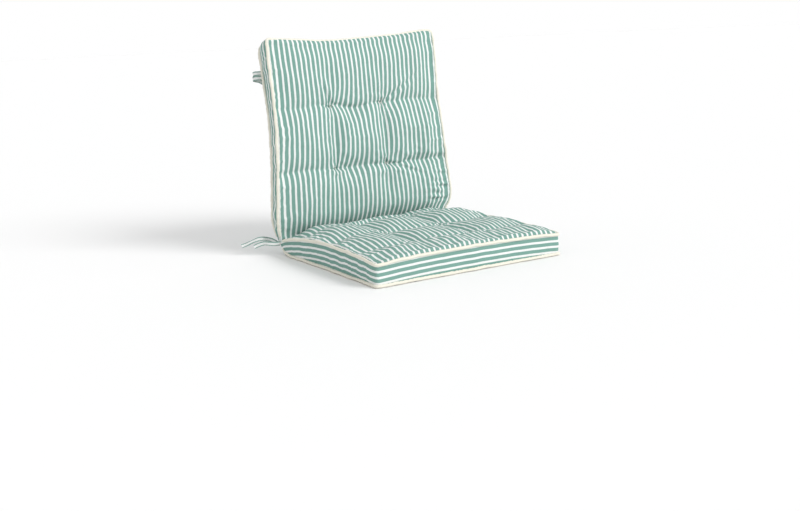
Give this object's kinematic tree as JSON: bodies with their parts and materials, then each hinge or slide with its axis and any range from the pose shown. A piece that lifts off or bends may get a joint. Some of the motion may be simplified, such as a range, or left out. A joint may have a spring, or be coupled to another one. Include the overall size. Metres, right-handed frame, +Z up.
{
  "type": "chair seat pad",
  "caption": "Tufted garden-chair pad: a boxed seat section and a boxed back section joined by a sewn fold, with piped edges and tie tapes at the corners.",
  "frame": {"origin": "centre of the seat section's underside, which lies flat on the chair's seat", "axes": "+Z up from the seat, -Y towards the seat's front edge, +X to the right as seen from the front; the back section stands up from the fold at +Y"},
  "size_m": [0.6332, 0.5545, 0.5171],
  "materials": {
    "striped_canvas": "woven cotton canvas, sage-green and white stripes",
    "boxing_canvas": "the same striped canvas cut with its stripes along the edge",
    "piping_canvas": "plain cream canvas cut on the bias round a cord",
    "piping_filler": "twisted cotton cord",
    "core_filling": "bonded polyester fibre block",
    "wadding": "soft polyester wadding",
    "tuft_thread": "waxed tufting thread",
    "fold_binding": "rolled cream canvas seam",
    "tie_tape": "folded strip of the striped canvas"
  },
  "bodies": {
    "seat": {"seat_core": "core_filling", "seat_top_wadding": "wadding", "seat_top_panel": "striped_canvas", "seat_bottom_panel": "striped_canvas", "seat_boxing": "boxing_canvas", "seat_top_piping_cover": "piping_canvas", "seat_top_piping_cord": "piping_filler", "seat_bottom_piping_cover": "piping_canvas", "seat_bottom_piping_cord": "piping_filler", "seat_tuft_ties": "tuft_thread", "fold_seam": "fold_binding", "seat_left_tie_front": "tie_tape", "seat_left_tie_rear": "tie_tape", "seat_right_tie_front": "tie_tape", "seat_right_tie_rear": "tie_tape"},
    "back": {"back_core": "core_filling", "back_front_wadding": "wadding", "back_front_panel": "striped_canvas", "back_rear_panel": "striped_canvas", "back_boxing": "boxing_canvas", "back_front_piping_cover": "piping_canvas", "back_front_piping_cord": "piping_filler", "back_rear_piping_cover": "piping_canvas", "back_rear_piping_cord": "piping_filler", "back_tuft_ties": "tuft_thread", "back_left_tie_top": "tie_tape", "back_left_tie_low": "tie_tape", "back_right_tie_top": "tie_tape", "back_right_tie_low": "tie_tape"}
  },
  "joints": [
    {"name": "back_fold", "type": "hinge", "parent": "seat", "child": "back", "pos_m": [0, 0.2375, 0.027], "axis": [1, 0, 0], "range_deg": [-87, 12]}
  ]
}
